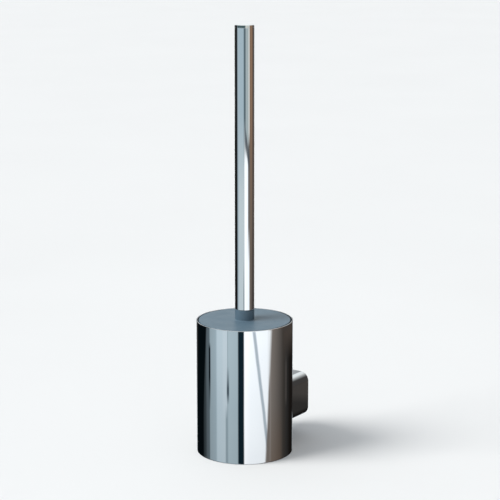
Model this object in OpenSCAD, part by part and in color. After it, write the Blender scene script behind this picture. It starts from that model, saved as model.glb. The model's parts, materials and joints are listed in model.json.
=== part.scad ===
// Wall-hung toilet brush holder: a polished cup on a square post, a lift-out pot, and a lidded brush.
// The wall is the plane y = 0, the cup stands out along -Y, and the post's centre is at z = 0.

/* [Cup] */
// Outer diameter of the cup
cup_d = 90; // [86:1:96]
// Height of the cup
cup_h = 127; // [122:1:140]
// Thickness of the cup's wall and floor
cup_wall = 1; // [0.8:0.1:1.2]

/* [Post and wall fixing] */
// Distance from the wall to the cup's axis
reach = 80; // [78:1:90]
// Side of the square post
post_side = 43; // [42:0.5:48]
// Radius of the post's four long corners
post_corner = 8.8; // [7:0.2:10]
// Height of the post's centre above the cup's underside
post_height = 38.5; // [34:0.5:60]
// Gap left between the post's end and the wall
wall_gap = 0.8; // [0.4:0.1:1.2]
// Distance between the two wall screws
wall_screw_pitch = 20; // [18:0.5:21]
// Diameter of the two wall screw holes
wall_screw_d = 5.2; // [4.5:0.1:5.5]

/* [Lid] */
// Diameter of the lid
lid_d = 85.6; // [85:0.1:87]
// Thickness of the lid
lid_t = 4; // [3:0.5:5]
// Height of the collar that the handle stands on
collar_h = 10; // [8:0.5:14]

/* [Handle] */
// Diameter of the handle tube and of the lid's collar
handle_d = 18; // [18:0.5:20]
// Height of the whole holder, from the cup's underside to the top of the handle
overall_h = 400; // [360:5:440]

/* [Brush head] */
// Diameter across the side bristles
head_d = 68; // [64:1:72]
// Diameter of one bristle tuft
tuft_d = 3.2; // [2.6:0.1:3.2]
// Tufts in each side row
tufts_per_row = 12; // [8:1:12]

/* [Hidden] */
TUFT_ROWS = 6;

$fn = 96;
eps = 0.01;

// Colours
chrome = "#c3c9cf";
anthracite = "#5b6973";
pot_grey = "#3a3f44";
rubber_black = "#17181a";
steel = "#9a9da0";
zinc = "#8d9093";
acetal = "#e4e2db";
bristle_black = "#202326";

// Cup
cup_r = cup_d / 2;
cup_in_r = cup_r - cup_wall;
cup_bottom_z = -post_height;
cup_floor_z = cup_bottom_z + cup_wall;
rim_z = cup_bottom_z + cup_h;
cup_edge = 0.5;
rim_edge = 0.3;

// Screws that hold the cup on the post
cup_screw_z = 10;
cup_screw_d = 4;
cup_screw_len = 10;
cup_screw_hole_d = 4.5;
thread_gap = 0.1;
screw_head_d = 7;
screw_head_h = 1.8;
washer_d = 8;
washer_t = 0.6;
// A flat washer bears on the hollow wall along its two outer edges
washer_seat_r = sqrt(pow(cup_in_r, 2) - pow(washer_d / 2, 2)) - 0.02;
screw_seat_r = washer_seat_r - washer_t;

// Post
gasket_t = 0.5;
gasket_inset = 1.5;
post_wall = 3;
web_t = 6.5;
saddle_r = cup_r + gasket_t;
web_back_y = -reach + saddle_r + web_t;
cavity_side = post_side - 2 * post_wall;
cavity_corner = post_corner - post_wall;

// Block screwed to the wall inside the post
block_t = 12;
block_slack = 0.6;
block_side = cavity_side - block_slack;
block_corner = cavity_corner - block_slack / 2;
counterbore_d = 9.6;
counterbore_h = 5;
set_screw_d = 5;
set_screw_len = 5;
set_screw_y = -6;
set_screw_bottom_z = -post_side / 2 + 0.3;
set_screw_notch_d = 5.4;

// Pot
pot_feet_t = 3;
pot_feet_d = 10;
pot_feet_pocket = 1;
pot_feet_r = 28;
pot_bottom_z = cup_floor_z + pot_feet_t - pot_feet_pocket;
pot_top_r = cup_in_r - 3.5;
pot_bottom_r = pot_top_r - 1.5;
pot_wall = 1.6;
pot_floor_t = 2.2;
pot_edge = 2.5;
lip_r = cup_in_r - 0.4;
lip_t = 2.5;
ring_proud = 0.5;
ring_groove = 0.8;
ring_in_r = pot_top_r + 0.7;
ring_out_r = lip_r - 1.1;
ring_slack = 0.1;
lid_bottom_z = rim_z - lid_t;
lip_z = lid_bottom_z - ring_proud;

// Lid
lid_r = lid_d / 2;
lid_edge = 0.4;
collar_r = handle_d / 2;
collar_top_z = rim_z + collar_h;
collar_flare = 0.7;
skirt_r = pot_top_r - pot_wall - 1.7;
skirt_t = 1.6;
skirt_h = 8;
boss_h = 4;
bush_r = 6.5;
bush_slack = 0.05;
bush_flange_r = 8.5;
bush_flange_t = 1.5;
boss_bottom_z = lid_bottom_z - boss_h;
bush_bottom_z = boss_bottom_z - bush_flange_t;

// Stem
stem_r = 5;
stem_slack = 0.08;
spigot_r = 3;
spigot_slack = 0.05;
spigot_len = 22;
retaining_gap = 0.2;
retaining_t = 1;
retaining_r = 7.5;
groove_depth = 0.8;
groove_w = retaining_t + 0.1;
retaining_z = bush_bottom_z - retaining_gap - retaining_t;

// Handle
tube_wall = 1;
tube_r = handle_d / 2;
tube_in_r = tube_r - tube_wall;
turning_gap = 0.3;
tube_bottom_z = collar_top_z + turning_gap;
top_z = cup_bottom_z + overall_h;
cap_t = 2.5;
cap_edge = 0.8;
cap_spigot_h = 10;
press_slack = 0.05;
plug_h = 28;

// Brush head
core_r = 10;
head_centre_z = cup_bottom_z + 40;
core_top_z = cup_bottom_z + 92;
core_edge = 1;
nut_h = 5;
nut_across_flats = 10;
stem_bottom_z = core_top_z + nut_h;
row_pitch = 8;
first_row_z = head_centre_z + 6;
tuft_hole_depth = 3;
tuft_hole_slack = 0.1;
tuft_root_r = core_r - tuft_hole_depth;
tip_reach = 29.5;
// Each ring of tip tufts: its tilt from straight down, its count and its reach from the centre
tip_rings = [[0, 1, tip_reach], [35, 6, 30.5], [65, 10, 32.5]];

// Moves what is drawn about the Z axis onto the axis of the cup
module on_cup_axis() {
    translate([0, -reach, 0]) children();
}

module rounded_square(side, radius) {
    square([side, side - 2 * radius], center = true);
    square([side - 2 * radius, side], center = true);
    for (x = [-1, 1], z = [-1, 1])
        translate([x, z] * (side / 2 - radius)) circle(radius);
}

// A bar of rounded square section that runs along Y from y_back out to y_front
module square_bar(side, radius, y_back, y_front) {
    translate([0, y_back, 0]) rotate([90, 0, 0])
        linear_extrude(y_back - y_front) rounded_square(side, radius);
}

// A rod along +Y that starts at y
module rod_y(radius, y, length) {
    translate([0, y, 0]) rotate([-90, 0, 0]) cylinder(h = length, r = radius);
}

module at_cup_screws() {
    for (side = [-1, 1]) translate([0, 0, side * cup_screw_z]) children();
}

module at_wall_screws() {
    for (side = [-1, 1]) translate([side * wall_screw_pitch / 2, 0, 0]) children();
}

module ring(outer_r, inner_r, z, height) {
    translate([0, 0, z]) difference() {
        cylinder(h = height, r = outer_r);
        translate([0, 0, -1]) cylinder(h = height + 2, r = inner_r);
    }
}

// Holder

module wall_block() {
    color(zinc) difference() {
        square_bar(block_side, block_corner, 0, -block_t);
        at_wall_screws() rod_y(wall_screw_d / 2, -block_t - 1, block_t + 2);
        at_wall_screws() rod_y(counterbore_d / 2, -block_t - 1, counterbore_h + 1);
        translate([0, set_screw_y, -block_side / 2 - 1])
            cylinder(h = set_screw_bottom_z + set_screw_len + block_side / 2 + 1, d = set_screw_notch_d);
    }
}

module post() {
    color(chrome) difference() {
        square_bar(post_side, post_corner, -wall_gap, -reach + cup_r / 2);
        on_cup_axis() translate([0, 0, -post_side]) cylinder(h = 2 * post_side, r = saddle_r);
        square_bar(cavity_side, cavity_corner, 1, web_back_y);
        at_cup_screws() rod_y((cup_screw_d + thread_gap) / 2, -reach + cup_r, cup_r);
        translate([0, set_screw_y, -post_side / 2 - 1])
            cylinder(h = post_wall + 2, d = set_screw_d + thread_gap);
    }
}

module set_screw() {
    color(steel) translate([0, set_screw_y, set_screw_bottom_z]) difference() {
        cylinder(h = set_screw_len, d = set_screw_d);
        translate([0, 0, -1]) cylinder(h = 3.2, d = 2.9, $fn = 6);
    }
}

module saddle_gasket() {
    color(rubber_black) difference() {
        intersection() {
            on_cup_axis() ring(saddle_r, cup_r, -post_side, 2 * post_side);
            square_bar(post_side - 2 * gasket_inset, post_corner - gasket_inset, 0, -reach);
        }
        at_cup_screws() rod_y(cup_screw_hole_d / 2, -reach + cup_in_r, cup_r);
    }
}

module cup() {
    color(chrome) difference() {
        on_cup_axis() rotate_extrude() polygon([
            [0, cup_bottom_z],
            [cup_r - cup_edge, cup_bottom_z],
            [cup_r, cup_bottom_z + cup_edge],
            [cup_r, rim_z - rim_edge],
            [cup_r - rim_edge, rim_z],
            [cup_in_r + rim_edge, rim_z],
            [cup_in_r, rim_z - rim_edge],
            [cup_in_r, cup_floor_z],
            [0, cup_floor_z]
        ]);
        at_cup_screws() rod_y(cup_screw_hole_d / 2, -reach + cup_in_r / 2, cup_r);
    }
}

module cup_screws() {
    color(steel) at_cup_screws() difference() {
        union() {
            rod_y(cup_screw_d / 2, -reach + screw_seat_r - eps, cup_screw_len + eps);
            rod_y(screw_head_d / 2, -reach + screw_seat_r - screw_head_h, screw_head_h);
        }
        translate([0, -reach + screw_seat_r - screw_head_h - 1, 0]) rotate([-90, 0, 0])
            cylinder(h = 2.1, d = 2.9, $fn = 6);
    }
}

module cup_washers() {
    color(steel) at_cup_screws() difference() {
        rod_y(washer_d / 2, -reach + screw_seat_r, washer_t);
        rod_y(cup_screw_d / 2 + 0.15, -reach + screw_seat_r - 1, washer_t + 2);
    }
}

// Pot

module pot() {
    color(pot_grey) on_cup_axis() difference() {
        rotate_extrude() polygon([
            [0, pot_bottom_z],
            [pot_bottom_r - pot_edge, pot_bottom_z],
            [pot_bottom_r, pot_bottom_z + pot_edge],
            [pot_top_r, lip_z - lip_t],
            [lip_r, lip_z - lip_t],
            [lip_r, lip_z],
            [ring_out_r, lip_z],
            [ring_out_r, lip_z - ring_groove],
            [ring_in_r, lip_z - ring_groove],
            [ring_in_r, lip_z],
            [pot_top_r - pot_wall, lip_z],
            [pot_bottom_r - pot_wall, pot_bottom_z + pot_edge + pot_floor_t],
            [pot_bottom_r - pot_edge - pot_wall, pot_bottom_z + pot_floor_t],
            [0, pot_bottom_z + pot_floor_t]
        ]);
        at_pot_feet(pot_bottom_z - 1) cylinder(h = pot_feet_pocket + 1, d = pot_feet_d + ring_slack);
    }
}

module at_pot_feet(z) {
    for (i = [0:2]) rotate(120 * i + 30) translate([pot_feet_r, 0, z]) children();
}

module pot_feet() {
    color(rubber_black) on_cup_axis() at_pot_feet(cup_floor_z) cylinder(h = pot_feet_t, d = pot_feet_d);
}

module damping_ring() {
    color(rubber_black) on_cup_axis()
        ring(ring_out_r - ring_slack, ring_in_r + ring_slack, lip_z - ring_groove, ring_groove + ring_proud);
}

// Lid

module lid() {
    color(anthracite) on_cup_axis() rotate_extrude() polygon([
        [bush_r, boss_bottom_z],
        [collar_r, boss_bottom_z],
        [collar_r, lid_bottom_z],
        [skirt_r - skirt_t, lid_bottom_z],
        [skirt_r - skirt_t, lid_bottom_z - skirt_h],
        [skirt_r - skirt_t / 2, lid_bottom_z - skirt_h],
        [skirt_r, lid_bottom_z - skirt_h + skirt_t],
        [skirt_r, lid_bottom_z],
        [lid_r, lid_bottom_z],
        [lid_r, rim_z - lid_edge],
        [lid_r - lid_edge, rim_z],
        [collar_r + collar_flare, rim_z],
        [collar_r, rim_z + collar_flare],
        [collar_r, collar_top_z],
        [bush_r, collar_top_z]
    ]);
}

module lid_bush() {
    color(acetal) on_cup_axis() difference() {
        union() {
            translate([0, 0, boss_bottom_z - eps])
                cylinder(h = collar_top_z - boss_bottom_z - 0.5, r = bush_r - bush_slack);
            translate([0, 0, bush_bottom_z]) cylinder(h = bush_flange_t, r = bush_flange_r);
        }
        translate([0, 0, bush_bottom_z - 1])
            cylinder(h = collar_top_z - bush_bottom_z + 2, r = stem_r + stem_slack);
    }
}

// Brush

module handle_tube() {
    color(chrome) on_cup_axis() ring(tube_r, tube_in_r, tube_bottom_z, top_z - cap_t - tube_bottom_z);
}

module handle_cap() {
    color(chrome) on_cup_axis() rotate_extrude() polygon([
        [0, top_z - cap_t - cap_spigot_h],
        [tube_in_r - press_slack, top_z - cap_t - cap_spigot_h],
        [tube_in_r - press_slack, top_z - cap_t],
        [tube_r, top_z - cap_t],
        [tube_r, top_z - cap_edge],
        [tube_r - cap_edge, top_z],
        [0, top_z]
    ]);
}

module handle_plug() {
    color(pot_grey) on_cup_axis()
        ring(tube_in_r - press_slack, spigot_r + spigot_slack, tube_bottom_z, plug_h);
}

module stem() {
    color(steel) on_cup_axis() rotate_extrude() polygon([
        [0, stem_bottom_z - nut_h - spigot_len + 2],
        [spigot_r, stem_bottom_z - nut_h - spigot_len + 2],
        [spigot_r, stem_bottom_z],
        [stem_r, stem_bottom_z],
        [stem_r, retaining_z],
        [stem_r - groove_depth, retaining_z],
        [stem_r - groove_depth, retaining_z + groove_w],
        [stem_r, retaining_z + groove_w],
        [stem_r, tube_bottom_z],
        [spigot_r, tube_bottom_z],
        [spigot_r, tube_bottom_z + spigot_len],
        [0, tube_bottom_z + spigot_len]
    ]);
}

module retaining_ring() {
    color(steel) on_cup_axis() difference() {
        ring(retaining_r, stem_r - groove_depth + spigot_slack, retaining_z, retaining_t);
        translate([0, -1.5, retaining_z - 1]) cube([retaining_r + 1, 3, retaining_t + 2]);
    }
}

module lock_nut() {
    color(steel) on_cup_axis() translate([0, 0, core_top_z]) difference() {
        cylinder(h = nut_h, r = nut_across_flats / 2 / cos(30), $fn = 6);
        translate([0, 0, -1]) cylinder(h = nut_h + 2, r = spigot_r + spigot_slack);
    }
}

module head_core() {
    color(pot_grey) on_cup_axis() difference() {
        union() {
            translate([0, 0, head_centre_z]) sphere(core_r);
            translate([0, 0, head_centre_z]) cylinder(h = core_top_z - head_centre_z - core_edge, r = core_r);
            translate([0, 0, core_top_z - core_edge - eps]) cylinder(h = core_edge + eps, r = core_r - core_edge);
        }
        translate([0, 0, core_top_z - spigot_len]) cylinder(h = spigot_len + 1, r = spigot_r + spigot_slack);
        tip_tufts(tuft_d / 2 + tuft_hole_slack, core_r + 1);
        for (row = [1:TUFT_ROWS]) row_tufts(row, tuft_d / 2 + tuft_hole_slack, core_r + 1);
    }
}

// Rods that fan out from the head's lower centre; a reach given here replaces each ring's own
module tip_tufts(radius, reach_to = 0) {
    translate([0, 0, head_centre_z]) for (tip = tip_rings, i = [0:tip[1] - 1])
        rotate([0, 0, 360 / tip[1] * i]) rotate([0, 180 - tip[0], 0])
            translate([0, 0, tuft_root_r]) cylinder(h = (reach_to > 0 ? reach_to : tip[2]) - tuft_root_r, r = radius);
}

// One level row of rods around the core, each row turned half a step from the last
module row_tufts(row, radius, reach_to) {
    step = 360 / tufts_per_row;
    translate([0, 0, first_row_z + row_pitch * (row - 1)]) for (i = [0:tufts_per_row - 1])
        rotate([0, 0, step * (i + row / 2)]) rotate([0, 90, 0])
            translate([0, 0, tuft_root_r]) cylinder(h = reach_to - tuft_root_r, r = radius);
}

module tufts_tip() {
    color(bristle_black) on_cup_axis() tip_tufts(tuft_d / 2, $fn = 24);
}

module tufts_row(row) {
    color(bristle_black) on_cup_axis() row_tufts(row, tuft_d / 2, head_d / 2, $fn = 24);
}

wall_block();
post();
set_screw();
saddle_gasket();
cup();
cup_screws();
cup_washers();
pot();
pot_feet();
damping_ring();
lid();
lid_bush();
handle_tube();
handle_cap();
handle_plug();
stem();
retaining_ring();
lock_nut();
head_core();
tufts_tip();
for (row = [1:TUFT_ROWS]) tufts_row(row);
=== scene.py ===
import json
import math
import random

import bmesh
import bpy
from mathutils import Matrix, Vector


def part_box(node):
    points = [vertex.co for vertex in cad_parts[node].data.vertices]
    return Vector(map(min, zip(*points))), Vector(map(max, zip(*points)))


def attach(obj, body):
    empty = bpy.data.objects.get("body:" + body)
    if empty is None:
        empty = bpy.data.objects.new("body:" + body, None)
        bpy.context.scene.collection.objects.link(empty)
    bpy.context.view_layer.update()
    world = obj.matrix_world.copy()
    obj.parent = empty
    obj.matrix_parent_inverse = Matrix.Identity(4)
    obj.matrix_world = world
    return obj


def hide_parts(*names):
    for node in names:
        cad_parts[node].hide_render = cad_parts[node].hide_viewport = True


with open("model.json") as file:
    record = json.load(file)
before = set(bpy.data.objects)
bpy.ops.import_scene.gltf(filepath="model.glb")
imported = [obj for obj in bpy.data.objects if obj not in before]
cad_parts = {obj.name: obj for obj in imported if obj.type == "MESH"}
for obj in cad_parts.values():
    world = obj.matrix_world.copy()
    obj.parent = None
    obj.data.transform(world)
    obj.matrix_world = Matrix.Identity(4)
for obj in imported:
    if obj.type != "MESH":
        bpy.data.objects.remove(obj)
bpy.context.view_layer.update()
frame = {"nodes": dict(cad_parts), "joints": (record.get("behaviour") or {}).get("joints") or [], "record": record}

# ---------------------------------------------------------------- sizes, in metres
MM = 0.001
NODES = frame["nodes"]
SPIN = next(j for j in frame["joints"] if j["name"] == "brush_spin")
AXIS = Vector((0, SPIN["pos_m"][1], 0))          # the upright axis of cup, lid and handle


def low(node):
    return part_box(node)[0]


def high(node):
    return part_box(node)[1]


CUP_R = high("cup").x
CUP_WALL = 1.0 * MM
CUP_BOTTOM = low("cup").z
RIM = high("cup").z

POST_CORNER = 8.8 * MM
POST_WALL = 3.0 * MM
POST_WEB = 6.5 * MM                               # the post's solid end behind its saddle
GASKET = 0.5 * MM
SET_SCREW_HOLE_R = 2.55 * MM

BLOCK_CORNER = 5.5 * MM
BLOCK_NOTCH_R = 2.7 * MM
WALL_SCREW_X = 10 * MM                            # each wall screw's distance from the middle
WALL_SCREW_HOLE_R = 2.6 * MM
COUNTERBORE_R = 4.8 * MM
COUNTERBORE_DEPTH = 5 * MM

POT_TOP_R = CUP_R - 4.5 * MM
POT_FOOT_R = CUP_R - 6.0 * MM
POT_WALL = 1.6 * MM
POT_FLOOR = 2.2 * MM
POT_LIP = 2.5 * MM
RING_SLACK = 0.1 * MM
RING_WIDTH = 1.8 * MM
PAD_CIRCLE_R = 28 * MM
PAD_POCKET_R = 5.05 * MM
PAD_POCKET_DEPTH = 1 * MM
PAD_BEARINGS = (30, 150, 270)

LID_R = high("lid").x
COLLAR_TOP = low("handle_tube").z - 0.3 * MM
SKIRT_R = 37.2 * MM
SKIRT_WALL = 1.6 * MM
SKIRT_DEPTH = 8 * MM
LID_BORE_R = 6.5 * MM
BUSH_BORE_R = 5.08 * MM
BUSH_R = 6.45 * MM
BUSH_FLANGE = 1.5 * MM

TUBE_R = high("handle_tube").x
TUBE_WALL = 1.0 * MM
CAP_SLACK = 0.05 * MM
CAP_TAPER = 0.13 * MM
SPIGOT_R = 3 * MM
GROOVE_DEPTH = 0.8 * MM
GROOVE_WIDTH = 1.1 * MM
NUT_BORE_R = 3.05 * MM
NUT_CHAMFER = 0.75 * MM

PAST = 1 * MM                                     # how far a cutter starts outside what it cuts
SEGMENTS = 240                                    # around the large turned pieces
FINE = 96                                         # around the small ones
NUT_SEGMENTS = 100                                # no multiple of 6, so its facets miss the hexagon's corners
EDGE_STEPS = 6                                    # across a bar's rounded end
ROD_SIDES = 64
SUPPORT = 0.12 * MM                               # a ring this close to each fillet keeps flats flat
TIGHT = 3 * MM                                    # fillets below this radius take the coarser arc
TIGHT_STEP, WIDE_STEP = math.radians(9), math.radians(4)
SHARP = math.radians(38)
WELD = 0.001 * MM                                 # cut edges shorter than this are closed up


# ---------------------------------------------------------------- shapes
def fillet(corners):
    """A closed outline of (a, b) or (a, b, radius) corners, each radius an arc between support points."""
    points, n = [], len(corners)
    for i, corner in enumerate(corners):
        here = Vector(corner[:2])
        radius = corner[2] if len(corner) > 2 else 0
        if radius <= 0:
            points.append(here)
            continue
        back = (Vector(corners[i - 1][:2]) - here).normalized()
        ahead = (Vector(corners[(i + 1) % n][:2]) - here).normalized()
        half = back.angle(ahead) / 2
        reach = radius / math.tan(half)
        centre = here + (back + ahead).normalized() * (radius / math.sin(half))
        start, end = here + back * reach, here + ahead * reach
        a0 = math.atan2(*(start - centre).yx)
        turn = math.atan2(*(end - centre).yx) - a0
        turn = (turn + math.pi) % (2 * math.pi) - math.pi
        # Taking off a hundredth keeps the same count on outlines whose turns differ by rounding only
        steps = max(4, math.ceil(abs(turn) / (TIGHT_STEP if radius < TIGHT else WIDE_STEP) - 0.01))
        support = min(SUPPORT, radius / 2)
        points.append(start + back * support)
        for k in range(steps + 1):
            a = a0 + turn * k / steps
            points.append(centre + radius * Vector((math.cos(a), math.sin(a))))
        points.append(end + ahead * support)
    return points


def finished(bm, name):
    """A Blender object from a bmesh, with outward faces, smooth but for its sharp edges."""
    bmesh.ops.remove_doubles(bm, verts=bm.verts, dist=1e-7)
    bmesh.ops.recalc_face_normals(bm, faces=bm.faces)
    mesh = bpy.data.meshes.new(name)
    bm.to_mesh(mesh)
    bm.free()
    obj = bpy.data.objects.new(name, mesh)
    bpy.context.scene.collection.objects.link(obj)
    smooth_but_sharp(mesh)
    return obj


def smooth_but_sharp(mesh):
    mesh.polygons.foreach_set("use_smooth", [True] * len(mesh.polygons))
    mesh.set_sharp_from_angle(angle=SHARP)


def lathe(name, corners, segments=FINE):
    """Turns a closed outline of (radius, z) corners about the upright axis."""
    bm, rings = bmesh.new(), []
    for r, z in fillet(corners):
        if r < 1e-9:
            rings.append([bm.verts.new(AXIS + Vector((0, 0, z)))])
            continue
        turns = (2 * math.pi * k / segments for k in range(segments))
        spokes = (Vector((r * math.cos(t), r * math.sin(t), z)) for t in turns)
        rings.append([bm.verts.new(AXIS + spoke) for spoke in spokes])
    for one, two in zip(rings, rings[1:] + rings[:1]):
        if len(one) == len(two) == 1:
            continue
        for k in range(segments):
            k2 = (k + 1) % segments
            corner_verts = [one[k % len(one)], one[k2 % len(one)], two[k2 % len(two)], two[k % len(two)]]
            bm.faces.new(list(dict.fromkeys(corner_verts)))
    return finished(bm, name)


def bar(name, side, corner, y_back, y_front, edge=0.0):
    """A bar of rounded square section along Y, its back end rounded by edge."""
    def section(inset):
        s, c = side / 2 - inset, max(corner - inset, 0.1 * MM)
        return fillet([(-s, -s, c), (s, -s, c), (s, s, c), (-s, s, c)])

    steps = EDGE_STEPS if edge else 0
    rings_at = [(edge * (1 - math.sin(t)), y_back - edge * (1 - math.cos(t)))
                for t in (math.pi / 2 * k / max(steps, 1) for k in range(steps + 1))]
    if edge:
        rings_at.append((0, y_back - edge - SUPPORT))
    rings_at.append((0, y_front))
    bm = bmesh.new()
    rings = [[bm.verts.new((x, y, z)) for x, z in section(inset)] for inset, y in rings_at]
    for one, two in zip(rings, rings[1:]):
        for k in range(len(one)):
            bm.faces.new((one[k - 1], one[k], two[k], two[k - 1]))
    bm.faces.new(rings[0])
    bm.faces.new(list(reversed(rings[-1])))
    return finished(bm, name)


def rod(name, radius, start, along, length):
    """A plain round cutter from start, for boolean cuts only."""
    bm = bmesh.new()
    bmesh.ops.create_cone(bm, cap_ends=True, segments=ROD_SIDES, radius1=radius, radius2=radius,
                          depth=length)
    turn = Vector((0, 0, 1)).rotation_difference(Vector(along)).to_matrix().to_4x4()
    bm.transform(Matrix.Translation(start) @ turn @ Matrix.Translation((0, 0, length / 2)))
    return finished(bm, name)


def combine(obj, *others, operation="DIFFERENCE"):
    """Cuts obj by the others, or keeps what they share, applies it and closes up the slivers."""
    for other in others:
        cut = obj.modifiers.new("cut", "BOOLEAN")
        cut.operation, cut.solver, cut.object = operation, "EXACT", other
    evaluated = obj.evaluated_get(bpy.context.evaluated_depsgraph_get())
    mesh = bpy.data.meshes.new_from_object(evaluated)
    obj.modifiers.clear()
    obj.data = mesh
    for other in others:
        bpy.data.objects.remove(other)
    bm = bmesh.new()
    bm.from_mesh(mesh)
    bmesh.ops.remove_doubles(bm, verts=bm.verts, dist=WELD)
    bmesh.ops.dissolve_degenerate(bm, edges=bm.edges, dist=WELD)
    bm.to_mesh(mesh)
    bm.free()
    smooth_but_sharp(mesh)
    return obj


# ---------------------------------------------------------------- materials
def srgb(r, g, b):
    """A linear colour from one given as it is seen, 0 to 255."""
    shares = (c / 255 for c in (r, g, b))
    return tuple(((c + 0.055) / 1.055) ** 2.4 if c > 0.04 else c / 12.92 for c in shares) + (1.0,)


class Look:
    """A Principled material whose colour, roughness and relief come from procedural patterns in metres."""

    def __init__(self, name, metallic=0.0, **sockets):
        self.material = bpy.data.materials.new(name)
        self.material.use_nodes = True
        self.tree = self.material.node_tree
        self.shader = self.tree.nodes["Principled BSDF"]
        self.shader.inputs["Metallic"].default_value = metallic
        for socket, value in sockets.items():
            label = socket.replace("_", " ").title().replace("Ior", "IOR")
            self.shader.inputs[label].default_value = value
        self.place = self.tree.nodes.new("ShaderNodeTexCoord").outputs["Object"]
        self.relief = None

    def node(self, kind, **values):
        made = self.tree.nodes.new("ShaderNode" + kind)
        for key, value in values.items():
            setattr(made, key, value)
        return made

    def link(self, source, target):
        self.tree.links.new(source, target)

    @staticmethod
    def fill(made, **values):
        for key, value in values.items():
            made.inputs[key.replace("_", " ")].default_value = value

    def stretched(self, stretch):
        mapping = self.node("Mapping")
        mapping.inputs["Scale"].default_value = stretch
        self.link(self.place, mapping.inputs["Vector"])
        return mapping.outputs["Vector"]

    def noise(self, scale, detail=3.0, stretch=(1, 1, 1), distortion=0.0):
        made = self.node("TexNoise")
        self.link(self.stretched(stretch), made.inputs["Vector"])
        self.fill(made, Scale=scale, Detail=detail, Roughness=0.55, Distortion=distortion)
        return made.outputs["Fac"]

    def cells(self, scale):
        made = self.node("TexVoronoi")
        self.link(self.stretched((1, 1, 1)), made.inputs["Vector"])
        self.fill(made, Scale=scale)
        return made.outputs["Distance"]

    def bands(self, scale):
        """Wavy rings that follow each other upward."""
        made = self.node("TexWave", bands_direction="Z")
        self.link(self.place, made.inputs["Vector"])
        self.fill(made, Scale=scale, Distortion=0.6, Detail=2.0, Detail_Scale=1.5)
        return made.outputs["Fac"]

    def ranged(self, source, low_in, high_in, low_out, high_out):
        made = self.node("MapRange")
        self.link(source, made.inputs["Value"])
        self.fill(made, From_Min=low_in, From_Max=high_in, To_Min=low_out, To_Max=high_out)
        return made.outputs["Result"]

    def math(self, operation, a, b):
        made = self.node("Math", operation=operation)
        for socket, value in zip(made.inputs, (a, b)):
            if isinstance(value, (int, float)):
                socket.default_value = value
            else:
                self.link(value, socket)
        return made.outputs["Value"]

    def band(self, source, start, full, fading, end):
        """1 between full and fading, 0 before start and past end."""
        rising = self.ranged(source, start, full, 0, 1)
        return self.math("MULTIPLY", rising, self.ranged(source, fading, end, 1, 0))

    def mixed(self, factor, one, two):
        made = self.node("Mix", data_type="RGBA")
        self.link(factor, made.inputs["Factor"])
        for socket, value in (("A", one), ("B", two)):
            target = next(s for s in made.inputs if s.name == socket and s.type == "RGBA")
            if isinstance(value, tuple):
                target.default_value = value
            else:
                self.link(value, target)
        return next(s for s in made.outputs if s.type == "RGBA")

    def tones(self, one, two, scale, **noise):
        spread = self.ranged(self.noise(scale, **noise), 0.3, 0.7, 0, 1)
        self.colour(self.mixed(spread, one, two))

    def colour(self, source):
        self.link(source, self.shader.inputs["Base Color"])

    def roughness(self, source):
        self.link(source, self.shader.inputs["Roughness"])

    def bump(self, height, distance):
        """Adds relief: height runs from 0 to 1 over the distance, in metres."""
        made = self.node("Bump")
        made.inputs["Distance"].default_value = distance
        self.link(height, made.inputs["Height"])
        if self.relief:
            self.link(self.relief, made.inputs["Normal"])
        self.relief = made.outputs["Normal"]
        self.link(self.relief, self.shader.inputs["Normal"])

    def from_axis(self):
        """The distance from the cup's upright axis."""
        offset = self.node("VectorMath", operation="SUBTRACT")
        offset.inputs[1].default_value = AXIS
        self.link(self.place, offset.inputs[0])
        flat = self.node("VectorMath", operation="MULTIPLY")
        flat.inputs[1].default_value = (1, 1, 0)
        self.link(offset.outputs["Vector"], flat.inputs[0])
        length = self.node("VectorMath", operation="LENGTH")
        self.link(flat.outputs["Vector"], length.inputs[0])
        return length.outputs["Value"]


def chrome_look():
    """Mirror-polished plate: faintly uneven, with soft wipe marks and hairlines from cleaning."""
    look = Look("chrome_plate", metallic=1.0)
    look.tones((0.815, 0.825, 0.84, 1), (0.775, 0.79, 0.812, 1), 14)
    smudge = look.ranged(look.noise(38, detail=5, distortion=0.8), 0.52, 0.72, 0, 1)
    hairlines = look.ranged(look.noise(900, detail=2, stretch=(1, 1, 0.02)), 0.6, 0.75, 0, 1)
    marks = look.math("ADD", look.math("MULTIPLY", smudge, 0.035), look.math("MULTIPLY", hairlines, 0.02))
    look.roughness(look.math("ADD", marks, 0.018))
    look.bump(look.noise(17, detail=1.5), 0.09 * MM)
    look.bump(look.noise(1300, detail=2, stretch=(1, 1, 0.03)), 0.0006 * MM)
    return look.material


def lid_look():
    """Matt blue-grey moulding with fine specks and a spark-eroded grain, paler along its rim from rubbing and a
    painted edge highlight.
    """
    look = Look("lid_moulding", specular_ior_level=0.5)
    cloud = look.ranged(look.noise(45, detail=4), 0.35, 0.65, 0, 1)
    speck = look.ranged(look.noise(2600, detail=2), 0.35, 0.65, 0, 1)
    body = look.mixed(cloud, (0.088, 0.143, 0.190, 1), (0.104, 0.163, 0.212, 1))
    grain = look.mixed(look.math("MULTIPLY", speck, 0.35), body, (0.130, 0.192, 0.240, 1))
    rim_width = 0.9 * MM
    rim = look.ranged(look.from_axis(), LID_R - rim_width, LID_R, 0, 1)
    # The paler rim is partly rubbed wear and partly a painted edge highlight
    rubbed_and_highlit = look.math("MULTIPLY", rim, look.ranged(look.noise(260, detail=4), 0.45, 0.7, 0, 0.3))
    look.colour(look.mixed(rubbed_and_highlit, grain, (0.27, 0.33, 0.37, 1)))
    look.roughness(look.ranged(look.noise(70, detail=5), 0.3, 0.7, 0.36, 0.48))
    look.bump(look.noise(1900, detail=3), 0.02 * MM)
    look.bump(look.noise(30, detail=2), 0.05 * MM)
    return look.material


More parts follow.
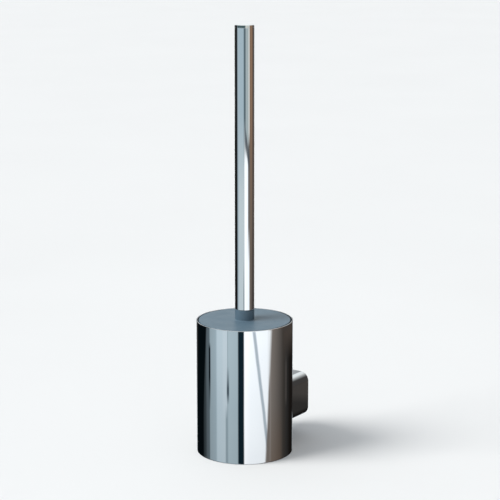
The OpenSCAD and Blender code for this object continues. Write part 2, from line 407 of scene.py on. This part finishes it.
def pot_look():
    """Dark moulded plastic: a satin grain, faint draw lines and a surface that runs from satin to dull."""
    look = Look("pot_moulding", specular_ior_level=0.45)
    cloud = look.ranged(look.noise(28, detail=5), 0.35, 0.7, 0, 1)
    look.colour(look.mixed(cloud, (0.040, 0.046, 0.052, 1), (0.058, 0.065, 0.072, 1)))
    draw = look.noise(420, detail=2, stretch=(1, 1, 0.04))
    look.roughness(look.ranged(look.noise(60, detail=5), 0.3, 0.7, 0.36, 0.6))
    look.bump(draw, 0.02 * MM)
    look.bump(look.noise(1500, detail=3), 0.04 * MM)
    look.bump(look.noise(22, detail=2), 0.06 * MM)
    return look.material


def rubber_look():
    """Soft black rubber with a dusty bloom."""
    look = Look("black_rubber", specular_ior_level=0.3)
    look.tones((0.012, 0.012, 0.013, 1), (0.034, 0.034, 0.035, 1), 150, detail=5)
    look.roughness(look.ranged(look.noise(300, detail=3), 0.3, 0.7, 0.7, 0.92))
    look.bump(look.noise(1500, detail=4), 0.03 * MM)
    return look.material


def steel_look():
    """Turned stainless steel: fine tool rings in its tone, its gloss and its relief."""
    look = Look("turned_steel", metallic=1.0)
    look.tones((0.64, 0.64, 0.65, 1), (0.58, 0.58, 0.592, 1), 60, stretch=(1, 1, 8))
    look.roughness(look.ranged(look.noise(300, detail=3, stretch=(1, 1, 12)), 0.3, 0.7, 0.22, 0.32))
    look.bump(look.noise(90, detail=3, stretch=(1, 1, 40)), 0.006 * MM)
    return look.material


def zinc_look():
    """Die-cast zinc, tumbled and dulled by oxide: a grey cloud and small dark pits."""
    look = Look("cast_zinc", metallic=0.7)
    cloud = look.ranged(look.noise(90, detail=6), 0.32, 0.68, 0, 1)
    pale = look.mixed(cloud, (0.50, 0.51, 0.52, 1), (0.60, 0.61, 0.62, 1))
    pits = look.ranged(look.cells(420), 0.03, 0.12, 0, 1)
    look.colour(look.mixed(pits, (0.30, 0.305, 0.31, 1), pale))
    look.roughness(look.ranged(look.noise(240, detail=5), 0.3, 0.7, 0.36, 0.5))
    look.bump(pits, 0.02 * MM)
    look.bump(look.noise(900, detail=4), 0.025 * MM)
    return look.material


def acetal_look():
    """Waxy natural acetal with fine turning rings."""
    look = Look("natural_acetal", specular_ior_level=0.5)
    look.tones((0.74, 0.72, 0.66, 1), (0.80, 0.785, 0.735, 1), 80, detail=3)
    look.roughness(look.ranged(look.noise(400, detail=3), 0.3, 0.7, 0.3, 0.45))
    look.bump(look.bands(1800), 0.006 * MM)
    return look.material


def bristle_look():
    """Black nylon filament, greyer towards the tips, with a soft sheen along each strand."""
    look = Look("nylon_bristle", specular_ior_level=0.55)
    strand = look.ranged(look.noise(1400, detail=2), 0.3, 0.7, 0, 1)
    tone = look.mixed(strand, (0.012, 0.013, 0.015, 1), (0.045, 0.048, 0.053, 1))
    greying, tips = 20 * MM, 35 * MM
    tip = look.ranged(look.from_axis(), greying, tips, 0, 0.5)
    look.colour(look.mixed(tip, tone, (0.085, 0.09, 0.097, 1)))
    look.roughness(look.ranged(look.noise(900, detail=2), 0.3, 0.7, 0.3, 0.5))
    look.bump(look.noise(3500, detail=2), 0.01 * MM)
    return look.material


LOOKS = {
    "chrome": chrome_look(),
    "lid_plastic": lid_look(),
    "pot_plastic": pot_look(),
    "rubber": rubber_look(),
    "steel": steel_look(),
    "zinc": zinc_look(),
    "acetal": acetal_look(),
    "bristle": bristle_look(),
}


def place(obj, body, slot, *stands_for):
    """Gives a new piece its finish and the body that it rides on, and hides the CAD nodes that it stands for."""
    obj.data.materials.clear()
    obj.data.materials.append(LOOKS[slot])
    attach(obj, body)
    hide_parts(*stands_for)
    return obj


# ---------------------------------------------------------------- holder
def make_cup():
    inner = CUP_R - CUP_WALL
    floor = CUP_BOTTOM + CUP_WALL
    cup = lathe("polished_cup", [
        (0, CUP_BOTTOM),
        (CUP_R, CUP_BOTTOM, 0.9 * MM),
        (CUP_R, RIM, 0.42 * MM),
        (inner, RIM, 0.42 * MM),
        (inner, floor, 0.8 * MM),
        (0, floor),
    ], SEGMENTS)
    place(cup, "holder", "chrome", "cup")


def make_post():
    side = high("post").x * 2
    saddle_r = CUP_R + GASKET
    web_back = AXIS.y + saddle_r + POST_WEB
    post = bar("square_post", side, POST_CORNER, high("post").y, AXIS.y + CUP_R / 2, edge=0.3 * MM)
    saddle_outline = [(0, -side), (saddle_r, -side), (saddle_r, side), (0, side)]
    saddle = lathe("saddle_cutter", saddle_outline, SEGMENTS)
    hollow = bar("hollow_cutter", side - 2 * POST_WALL, POST_CORNER - POST_WALL, side, web_back)
    screw_y = (low("set_screw").y + high("set_screw").y) / 2
    below = Vector((0, screw_y, -side))
    into_hollow = side / 2 + 8 * MM
    screw_hole = rod("screw_cutter", SET_SCREW_HOLE_R, below, (0, 0, 1), into_hollow)
    combine(post, saddle, hollow, screw_hole)
    place(post, "holder", "chrome", "post")


def make_wall_block():
    side = high("wall_block").x * 2
    front = low("wall_block").y
    block = bar("wall_mounting_block", side, BLOCK_CORNER, 0, front, edge=0.5 * MM)
    right_through = 20 * MM
    cutters = []
    for x in (-WALL_SCREW_X, WALL_SCREW_X):
        start = Vector((x, front - PAST, 0))
        cutters.append(rod("hole", WALL_SCREW_HOLE_R, start, (0, 1, 0), right_through))
        cutters.append(rod("counterbore", COUNTERBORE_R, start, (0, 1, 0), COUNTERBORE_DEPTH + PAST))
    below = Vector((0, -6 * MM, -side))
    up_to_screw_tip = side + low("set_screw").z + 5 * MM
    cutters.append(rod("notch", BLOCK_NOTCH_R, below, (0, 0, 1), up_to_screw_tip))
    combine(block, *cutters)
    place(block, "holder", "zinc", "wall_block")


# ---------------------------------------------------------------- pot
def make_pot():
    bottom, lip = low("pot").z, high("pot").z
    lip_r = high("pot").x
    ring_out, ring_in = high("damping_ring").x + RING_SLACK, POT_TOP_R + 0.7 * MM
    groove = low("damping_ring").z
    pot = lathe("inner_pot", [
        (0, bottom),
        (POT_FOOT_R, bottom, 3 * MM),
        (POT_TOP_R, lip - POT_LIP, 0.5 * MM),
        (lip_r, lip - POT_LIP, 0.5 * MM),
        (lip_r, lip, 0.5 * MM),
        (ring_out, lip),
        (ring_out, groove),
        (ring_in, groove),
        (ring_in, lip),
        (POT_TOP_R - POT_WALL, lip, 0.3 * MM),
        (POT_FOOT_R - POT_WALL, bottom + POT_FLOOR, 3 * MM),
        (0, bottom + POT_FLOOR),
    ], SEGMENTS)
    pockets = []
    for turn in map(math.radians, PAD_BEARINGS):
        spoke = Vector((PAD_CIRCLE_R * math.cos(turn), PAD_CIRCLE_R * math.sin(turn), bottom - PAST))
        pockets.append(rod("pad_pocket", PAD_POCKET_R, AXIS + spoke, (0, 0, 1), PAD_POCKET_DEPTH + PAST))
    combine(pot, *pockets)
    place(pot, "pot", "pot_plastic", "pot")


def make_damping_ring():
    outer = high("damping_ring").x
    inner = outer - RING_WIDTH
    groove, top = low("damping_ring").z, high("damping_ring").z
    ring = lathe("soft_ring", [
        (inner, groove),
        (outer, groove),
        (outer, top, 0.6 * MM),
        (inner, top, 0.6 * MM),
    ], SEGMENTS)
    place(ring, "pot", "rubber", "damping_ring")


# ---------------------------------------------------------------- lid
def make_lid():
    under = high("damping_ring").z
    boss_bottom = low("lid_bush").z + BUSH_FLANGE
    skirt_in, skirt_bottom = SKIRT_R - SKIRT_WALL, under - SKIRT_DEPTH
    lid = lathe("flat_lid", [
        (LID_BORE_R, boss_bottom),
        (TUBE_R, boss_bottom, 0.4 * MM),
        (TUBE_R, under, 0.8 * MM),
        (skirt_in, under, 0.5 * MM),
        (skirt_in, skirt_bottom, 0.3 * MM),
        (SKIRT_R, skirt_bottom, 0.6 * MM),
        (SKIRT_R, under, 0.5 * MM),
        (LID_R, under, 0.4 * MM),
        (LID_R, RIM, 0.5 * MM),
        (TUBE_R, RIM, 0.8 * MM),
        (TUBE_R, COLLAR_TOP, 0.35 * MM),
        (LID_BORE_R, COLLAR_TOP, 0.3 * MM),
    ], SEGMENTS)
    place(lid, "lid", "lid_plastic", "lid")


def make_lid_bush():
    bottom, top = low("lid_bush").z, high("lid_bush").z
    flange = high("lid_bush").x
    bush = lathe("bearing_bush", [
        (BUSH_BORE_R, bottom, 0.3 * MM),
        (flange, bottom, 0.3 * MM),
        (flange, bottom + BUSH_FLANGE, 0.3 * MM),
        (BUSH_R, bottom + BUSH_FLANGE),
        (BUSH_R, top, 0.2 * MM),
        (BUSH_BORE_R, top, 0.2 * MM),
    ])
    place(bush, "lid", "acetal", "lid_bush")


# ---------------------------------------------------------------- handle
def make_handle():
    bottom, seam, top = low("handle_tube").z, high("handle_tube").z, high("handle_cap").z
    inner = TUBE_R - TUBE_WALL
    plug_r = inner - CAP_SLACK
    tube = lathe("handle_tube_polished", [
        (inner, bottom, 0.15 * MM),
        (TUBE_R, bottom, 0.3 * MM),
        (TUBE_R, seam, 0.15 * MM),
        (inner, seam),
    ], SEGMENTS)
    place(tube, "brush", "chrome", "handle_tube")
    cap = lathe("handle_end_cap", [
        (0, low("handle_cap").z),
        (plug_r, low("handle_cap").z, 0.5 * MM),
        (plug_r, seam),
        (TUBE_R, seam, 0.15 * MM),
        (TUBE_R - CAP_TAPER, top, 0.3 * MM),
        (0, top),
    ], SEGMENTS)
    place(cap, "brush", "chrome", "handle_cap")


def make_stem():
    lowest, highest = low("stem").z, high("stem").z
    body_r = high("stem").x
    shoulder = high("lock_nut").z
    top = low("handle_tube").z
    groove_r = body_r - GROOVE_DEPTH
    groove = low("retaining_ring").z
    groove_top = groove + GROOVE_WIDTH
    stem = lathe("steel_stem", [
        (0, lowest),
        (SPIGOT_R, lowest, 0.4 * MM),
        (SPIGOT_R, shoulder),
        (body_r, shoulder, 0.5 * MM),
        (body_r, groove),
        (groove_r, groove),
        (groove_r, groove_top),
        (body_r, groove_top),
        (body_r, top, 0.2 * MM),
        (SPIGOT_R, top),
        (SPIGOT_R, highest, 0.4 * MM),
        (0, highest),
    ])
    place(stem, "brush", "steel", "stem")


def make_lock_nut():
    bottom, top = low("lock_nut").z, high("lock_nut").z
    flat = (high("lock_nut").y - low("lock_nut").y) / 2
    point = flat / math.cos(math.radians(30))
    bm = bmesh.new()
    turns = [math.radians(60 * k) for k in range(6)]
    corners = [Vector((point * math.cos(t), point * math.sin(t), 0)) + AXIS for t in turns]
    rings = [[bm.verts.new(c + Vector((0, 0, z))) for c in corners] for z in (bottom, top)]
    for k in range(6):
        bm.faces.new((rings[0][k - 1], rings[0][k], rings[1][k], rings[1][k - 1]))
    bm.faces.new(rings[0])
    bm.faces.new(rings[1])
    nut = finished(bm, "hex_lock_nut")
    # The chamfers' cone runs on past both faces, so the two solids share no face
    outside = point + 0.1 * MM
    face_r = flat - 0.2 * MM
    past = NUT_CHAMFER / 2
    narrow = face_r - past * (outside - face_r) / NUT_CHAMFER
    turned = lathe("nut_turning", [
        (0, bottom - past),
        (narrow, bottom - past),
        (outside, bottom + NUT_CHAMFER),
        (outside, top - NUT_CHAMFER),
        (narrow, top + past),
        (0, top + past),
    ], NUT_SEGMENTS)
    combine(nut, turned, operation="INTERSECT")
    right_through = 10 * MM
    start = AXIS + Vector((0, 0, bottom - PAST))
    combine(nut, rod("nut_bore", NUT_BORE_R, start, (0, 0, 1), right_through))
    place(nut, "brush", "steel", "lock_nut")


# ---------------------------------------------------------------- bristles
FILAMENTS = 34                                    # in each tuft
FILAMENT_R = 0.17 * MM
# Along a filament: the share of its length, and its thickness there
FILAMENT_RINGS = ((0, 1), (0.45, 1), (0.8, 0.95), (0.985, 0.85), (1, 0.45))
FILAMENT_SIDES = (0, math.pi / 2, math.pi, 3 * math.pi / 2)
TUFT_R = 1.45 * MM
FAN = 2.35                                        # how much wider a tuft is at its tips
STRAY = 0.35 * MM
CORE_R = high("head_core").x
ROOT_R = CORE_R - 3 * MM
HEAD_R = high("tufts_row_1").x
HEAD_CENTRE = low("head_core").z + CORE_R
# The tip's rings of tufts: degrees off straight down, how many, and how far they reach
TIP_RINGS = ((0, 1, 29.5 * MM), (35, 6, 30.5 * MM), (65, 10, 32.5 * MM))
ROWS = [n for n in NODES if n.startswith("tufts_row_")]
PER_ROW = 12
GOLDEN_ANGLE = math.pi * (3 - math.sqrt(5))
SEED = 7


def filament(bm, root, tip, bow, radius):
    """One bristle: a thin four-sided strand from root to tip, bowed sideways and rounded off at its end."""
    along = (tip - root).normalized()
    across = along.orthogonal().normalized()
    side = along.cross(across)
    rings = []
    for t, thick in FILAMENT_RINGS:
        centre = root.lerp(tip, t) + bow * (4 * t * (1 - t))
        rings.append([bm.verts.new(centre + radius * thick * (across * math.cos(a) + side * math.sin(a)))
                      for a in FILAMENT_SIDES])
    for one, two in zip(rings, rings[1:]):
        for k in range(4):
            bm.faces.new((one[k - 1], one[k], two[k], two[k - 1]))
    bm.faces.new(rings[0])
    bm.faces.new(rings[-1])


def tuft(bm, centre, direction, reach, chance):
    """A bundle of bristles in one hole, which fans out towards its tips."""
    across = direction.orthogonal().normalized()
    side = direction.cross(across)
    for k in range(FILAMENTS):
        r = TUFT_R * math.sqrt((k + 0.5) / FILAMENTS)
        a = k * GOLDEN_ANGLE + chance.uniform(-0.15, 0.15)
        offset = (across * math.cos(a) + side * math.sin(a)) * r
        root = centre + direction * ROOT_R + offset * 0.9
        fan = FAN + chance.uniform(-0.35, 0.35)
        stray = Vector([chance.gauss(0, STRAY) for _ in range(3)])
        length = reach - chance.uniform(0.2, 1.4) * MM - r * 0.5
        tip = centre + direction * length + offset * fan + stray
        trimmed = (tip - centre).normalized() * min((tip - centre).length, reach)
        bow = offset * chance.uniform(-0.1, 0.35) + stray * 0.4
        filament(bm, root, centre + trimmed, bow, FILAMENT_R)


def make_bristles():
    chance = random.Random(SEED)
    for node in sorted(ROWS):
        number = int(node.rsplit("_", 1)[1])
        bm = bmesh.new()
        centre = AXIS + Vector((0, 0, (low(node).z + high(node).z) / 2))
        for i in range(PER_ROW):
            turn = 2 * math.pi / PER_ROW * (i + number / 2)
            tuft(bm, centre, Vector((math.cos(turn), math.sin(turn), 0)), HEAD_R, chance)
        place(finished(bm, f"bristles_row_{number}"), "brush", "bristle", node)
    bm = bmesh.new()
    centre = AXIS + Vector((0, 0, HEAD_CENTRE))
    for tilt, count, reach in TIP_RINGS:
        out, down = math.sin(math.radians(tilt)), math.cos(math.radians(tilt))
        for i in range(count):
            turn = 2 * math.pi * i / count
            tuft(bm, centre, Vector((-out * math.cos(turn), -out * math.sin(turn), -down)), reach, chance)
    place(finished(bm, "bristles_tip"), "brush", "bristle", "tufts_tip")


make_cup()
make_post()
make_wall_block()
make_pot()
make_damping_ring()
make_lid()
make_lid_bush()
make_handle()
make_stem()
make_lock_nut()
make_bristles()

# The CAD nodes whose shape is right keep it and take a better finish
KEPT = ("set_screw", "saddle_gasket", "cup_screws", "cup_washers", "pot_feet",
        "handle_plug", "retaining_ring", "head_core")
for part in frame["record"]["subparts"]:
    if part["node"] in KEPT:
        node = NODES[part["node"]]
        node.data.materials.clear()
        node.data.materials.append(LOOKS[part["material_slot"]])
        smooth_but_sharp(node.data)

# ---------------------------------------------------------------- camera
AZIMUTH = math.radians(33.7)
PITCH = math.radians(11.97)
LENS, SENSOR = 122.4, 36.0
CAMERA_RIGHT, CAMERA_UP, CAMERA_AWAY = 5.0 * MM, 188.7 * MM, 1611 * MM
LEVEL = math.cos(PITCH)
AHEAD = Vector((-math.sin(AZIMUTH) * LEVEL, math.cos(AZIMUTH) * LEVEL, -math.sin(PITCH)))
RIGHT = Vector((math.cos(AZIMUTH), math.sin(AZIMUTH), 0))
UP = RIGHT.cross(AHEAD)
BASE = AXIS + Vector((0, 0, CUP_BOTTOM))

camera = bpy.data.objects.new("camera", bpy.data.cameras.new("camera"))
camera.data.lens = LENS
camera.data.sensor_width = SENSOR
camera.matrix_world = Matrix((RIGHT, UP, -AHEAD)).transposed().to_4x4()
camera.location = BASE + RIGHT * CAMERA_RIGHT + UP * CAMERA_UP - AHEAD * CAMERA_AWAY
bpy.context.scene.collection.objects.link(camera)
bpy.context.scene.camera = camera
bpy.context.scene.view_settings.view_transform = "Standard"


# ---------------------------------------------------------------- studio
FLOOR_HALF = 60                                   # metres, so that its edge is lost in the backdrop


def make_floor():
    bm = bmesh.new()
    bmesh.ops.create_grid(bm, x_segments=8, y_segments=8, size=FLOOR_HALF)
    bmesh.ops.translate(bm, verts=bm.verts, vec=BASE)
    floor = finished(bm, "studio_floor")
    look = Look("pale_floor", specular_ior_level=0.2)
    look.tones((0.80, 0.80, 0.795, 1), (0.79, 0.79, 0.785, 1), 3)
    look.roughness(look.ranged(look.noise(5), 0.3, 0.7, 0.75, 0.9))
    floor.data.materials.append(look.material)
    floor.visible_glossy = False


# What stands around the object, by its bearing in degrees to the right of the camera, as the polished
# cup shows it: dark flags, a cool window on the left, a white softbox and a dim wall on the right.
SURROUNDINGS = (
    (-180, (50, 46, 43)),
    (-149, (46, 44, 43)),
    (-146, (12, 13, 15)),
    (-116, (6, 12, 16)),
    (-112, (44, 52, 55)),
    (-104, (58, 67, 71)),
    (-101, (82, 92, 98)),
    (-91.5, (88, 101, 107)),
    (-88.5, (143, 159, 166)),
    (-71, (152, 169, 177)),
    (-67, (181, 198, 206)),
    (-46, (185, 200, 207)),
    (-44, (140, 157, 164)),
    (-40, (142, 159, 166)),
    (-38, (168, 185, 192)),
    (-16, (163, 180, 187)),
    (-14, (16, 32, 40)),
    (-2, (18, 34, 42)),
    (0, (264, 266, 268)),
    (14, (252, 257, 260)),
    (56, (245, 250, 253)),
    (60, (150, 145, 141)),
    (66, (117, 110, 104)),
    (92, (82, 77, 73)),
    (104, (58, 54, 50)),
    (118, (44, 43, 42)),
    (136, (24, 21, 19)),
    (180, (24, 21, 19)),
)
SCREEN_R = 0.9
SCREEN_LOW, SCREEN_HIGH = -6.0, 6.0
SCREEN_SIDES = 96
MIRROR_SHARE = 0.8                                # how much of a surrounding's light the chrome gives back
DIM_BELOW, FULL_ABOVE, DIMMED = -0.36, -0.15, 0.78     # the screen dims to this share towards the floor
ANY = (-9, -8, 8, 9)                              # a height band that takes in the whole screen


def make_surroundings():
    """A tall glowing screen around the set that only reflections see; its colours are painted reflections,
    highlights and shade for the chrome.
    """
    bm = bmesh.new()
    turns = [2 * math.pi * k / SCREEN_SIDES for k in range(SCREEN_SIDES)]
    rings = [[bm.verts.new((SCREEN_R * math.cos(t), SCREEN_R * math.sin(t), z)) for t in turns]
             for z in (SCREEN_LOW, SCREEN_HIGH)]
    for k in range(SCREEN_SIDES):
        bm.faces.new((rings[0][k - 1], rings[0][k], rings[1][k], rings[1][k - 1]))
    screen = finished(bm, "reflection_screen")
    screen.location = AXIS
    screen.rotation_euler.z = AZIMUTH
    screen.visible_camera = screen.visible_diffuse = screen.visible_shadow = False
    screen.visible_transmission = screen.visible_volume_scatter = False

    look = Look("surroundings")
    split = look.node("SeparateXYZ")
    look.link(look.place, split.inputs["Vector"])
    x, y, z = split.outputs
    angle = look.math("ARCTAN2", x, look.math("MULTIPLY", y, -1.0))
    bearing = look.math("MULTIPLY", angle, math.degrees(1))
    ramp = look.node("ValToRGB")
    look.link(look.ranged(bearing, -180, 180, 0, 1), ramp.inputs["Fac"])
    stops = ramp.color_ramp.elements
    while len(stops) < len(SURROUNDINGS):
        stops.new(1.0)
    for stop, (at, colour) in zip(stops, SURROUNDINGS):
        stop.position = (at + 180) / 360
        stop.color = srgb(*colour)
    seen = ramp.outputs["Color"]

    def paint(colour, bearings, heights=ANY, share=1.0, lean=0.0, within=None):
        """Lays a soft-edged patch over the screen, its bearings slanted by lean, in degrees a metre."""
        nonlocal seen
        across = look.math("ADD", bearing, look.math("MULTIPLY", z, lean)) if lean else bearing
        mask = look.math("MULTIPLY", look.band(across, *bearings), look.band(z, *heights))
        if within:
            mask = look.math("MULTIPLY", mask, look.band(bearing, *within))
        seen = look.mixed(look.math("MULTIPLY", mask, share), seen, srgb(*colour))

    # The softbox's slanting seam
    paint((160, 173, 182), (-10, -7, -3, 0), (-2, -1, -0.14, -0.13), 0.9, lean=195, within=(-2, 2, 56, 59))

    # The dark flag on the left leans in, and a slim post stands at the window's edge
    paint((5, 11, 14), (-130, -128, -90, -86), (-2, -1, -0.14, -0.13), lean=-100)
    paint((14, 24, 30), (-94, -92.5, -88.5, -86.5), (-0.264, -0.212, -0.168, -0.158))

    # The window's bar is thin and set in a brighter pane above, with a knob where it swells
    paint((190, 204, 211), (-54, -50, -41.5, -40), (-0.27, -0.245, 8, 9))
    paint((46, 62, 71), (-43, -41, -37.5, -35.5), (-0.246, -0.229, -0.221, -0.19), 0.9)

    # The softbox's right edge slants too: past its middle above, short of it below
    paint((236, 240, 242), (50, 54, 72, 80), (-0.225, -0.2, -0.14, -0.12),
          lean=-82, within=(54, 58, 76, 80))
    paint((117, 109, 103), (75, 80, 100, 110), (-2, -1, -0.23, -0.2),
          lean=-82, within=(44, 48, 60, 64))

    # The side wall is paler above the cup and warmer below it
    paint((66, 59, 54), (96, 108, 150, 165), (-0.19, -0.15, 8, 9))
    paint((104, 84, 66), (60, 66, 92, 102), (-2, -1, -0.34, -0.25), 0.4)
    paint((108, 94, 82), (58, 70, 200, 210), (-0.14, 0.02, 8, 9))
    paint((133, 107, 87), (58, 70, 110, 130), (0.02, 0.2, 8, 9))

    # Beside the post it stays dark, but for a paler patch low down, up to the ceiling's light
    paint((60, 58, 57), (105, 110, 128, 142), (-0.15, -0.12, 8, 9))
    paint((72, 68, 65), (110, 112, 118, 120), (-0.262, -0.248, -0.2, -0.18), 0.7)

    # Above the cup's part of the window it is open, and its left side lies in deep shade
    paint((187, 199, 203), (-90, -60, -4, 0), (-0.135, -0.12, 8, 9))
    paint((160, 179, 188), (-86, -64, -4, 0), (0.05, 0.17, 8, 9))
    paint((18, 16, 14), (-200, -190, -106, -84), (-0.135, -0.12, 8, 9))

    # The frame between window and softbox, thin above the cup and broad again at the top
    paint((108, 120, 125), (-15, -11, -6, -2), (-0.135, -0.12, -0.1, -0.04), 0.95)

    # The softbox narrows upward behind a dark slanting edge, with a pale reflector above it
    paint((100, 94, 90), (38, 46, 60, 66), (-0.05, 0.0, 8, 9))
    paint((160, 172, 174), (0, 5, 44, 50), (0.1, 0.13, 8, 9))
    paint((226, 227, 221), (46, 51, 58, 63), (0.12, 0.14, 8, 9))
    paint((88, 104, 110), (-12, -5, 10, 17), (0.09, 0.16, 8, 9))
    paint((74, 79, 84), (150, 166, 186, 200), (0.07, 0.09, 0.145, 0.17), 0.9,
          lean=1250, within=(4, 14, 54, 64))

    # Behind: a pale window low down, a brighter ceiling over it, and above the front a dim teal one
    for turn in (-360, 0):
        paint((172, 179, 184), [turn + bearing for bearing in (160, 166, 196, 202)])
        paint((150, 153, 155), [turn + bearing for bearing in (136, 158, 204, 224)], (0.12, 0.18, 8, 9))
        paint((222, 227, 227), [turn + bearing for bearing in (118, 152, 208, 242)], (0.32, 0.4, 8, 9))
    paint((70, 88, 90), (-92, -84, 6, 14), (0.33, 0.36, 0.7, 0.9))
    paint((196, 198, 190), (8, 16, 36, 46), (0.33, 0.36, 0.7, 0.9))
    paint((206, 210, 212), (-400, -390, 390, 400), (0.8, 1.0, 8, 9))

    glow = look.node("Emission")
    full = 1 / MIRROR_SHARE
    look.link(look.ranged(z, DIM_BELOW, FULL_ABOVE, DIMMED * full, full), glow.inputs["Strength"])
    look.link(seen, glow.inputs["Color"])
    look.link(glow.outputs["Emission"], look.tree.nodes["Material Output"].inputs["Surface"])
    screen.data.materials.append(look.material)


def seen_from(bearing, elevation):
    """The direction to something at a bearing to the right of the camera and an elevation, in degrees."""
    a, e = AZIMUTH + math.radians(bearing), math.radians(elevation)
    return Vector((math.sin(a) * math.cos(e), -math.cos(a) * math.cos(e), math.sin(e)))


SUN_BEARING, SUN_ELEVATION = -72, 47
SUN_SPREAD = math.radians(30)
SUN_STRENGTH = 2.5
SUN_COLOUR = (1.0, 0.99, 0.97)


def make_sun():
    """The key light: a broad, even sun."""
    away = seen_from(SUN_BEARING, SUN_ELEVATION)
    sun = bpy.data.objects.new("key_light", bpy.data.lights.new("key_light", "SUN"))
    sun.data.angle = SUN_SPREAD
    sun.data.energy = SUN_STRENGTH
    sun.data.color = SUN_COLOUR
    sun.location = AXIS + away * 2
    sun.rotation_mode = "QUATERNION"
    sun.rotation_quaternion = away.to_track_quat("Z", "Y")
    sun.visible_camera = False
    sun.visible_glossy = False
    bpy.context.scene.collection.objects.link(sun)


SKY_BEARING, SKY_ELEVATION = -80, 45              # where the soft light is strongest
SKY_DIMMEST, SKY_BRIGHTEST = 0.12, 0.95
SKY_FALLOFF = -0.4                                # the cosine from there at which it is dimmest
SKY_COLOUR = (0.9, 0.95, 1.0, 1)
BACKDROP = 0.93                                   # the least that the camera sees of it


def make_world():
    """Soft light from all round, stronger from one side, that the camera sees as a pale backdrop."""
    world = bpy.data.worlds.new("studio")
    world.use_nodes = True
    tree = world.node_tree
    place = tree.nodes.new("ShaderNodeTexCoord")
    towards = tree.nodes.new("ShaderNodeVectorMath")
    towards.operation = "DOT_PRODUCT"
    towards.inputs[1].default_value = seen_from(SKY_BEARING, SKY_ELEVATION)
    power = tree.nodes.new("ShaderNodeMapRange")
    Look.fill(power, From_Min=SKY_FALLOFF, From_Max=1.0, To_Min=SKY_DIMMEST, To_Max=SKY_BRIGHTEST)
    path = tree.nodes.new("ShaderNodeLightPath")
    shown = tree.nodes.new("ShaderNodeMath")
    shown.operation = "MULTIPLY"
    shown.inputs[1].default_value = BACKDROP
    brightest = tree.nodes.new("ShaderNodeMath")
    brightest.operation = "MAXIMUM"
    background = tree.nodes["Background"]
    background.inputs["Color"].default_value = SKY_COLOUR
    tree.links.new(place.outputs["Generated"], towards.inputs[0])
    tree.links.new(towards.outputs["Value"], power.inputs["Value"])
    tree.links.new(path.outputs["Is Camera Ray"], shown.inputs[0])
    tree.links.new(power.outputs["Result"], brightest.inputs[0])
    tree.links.new(shown.outputs["Value"], brightest.inputs[1])
    tree.links.new(brightest.outputs["Value"], background.inputs["Strength"])
    bpy.context.scene.world = world


make_floor()
make_surroundings()
make_sun()
make_world()
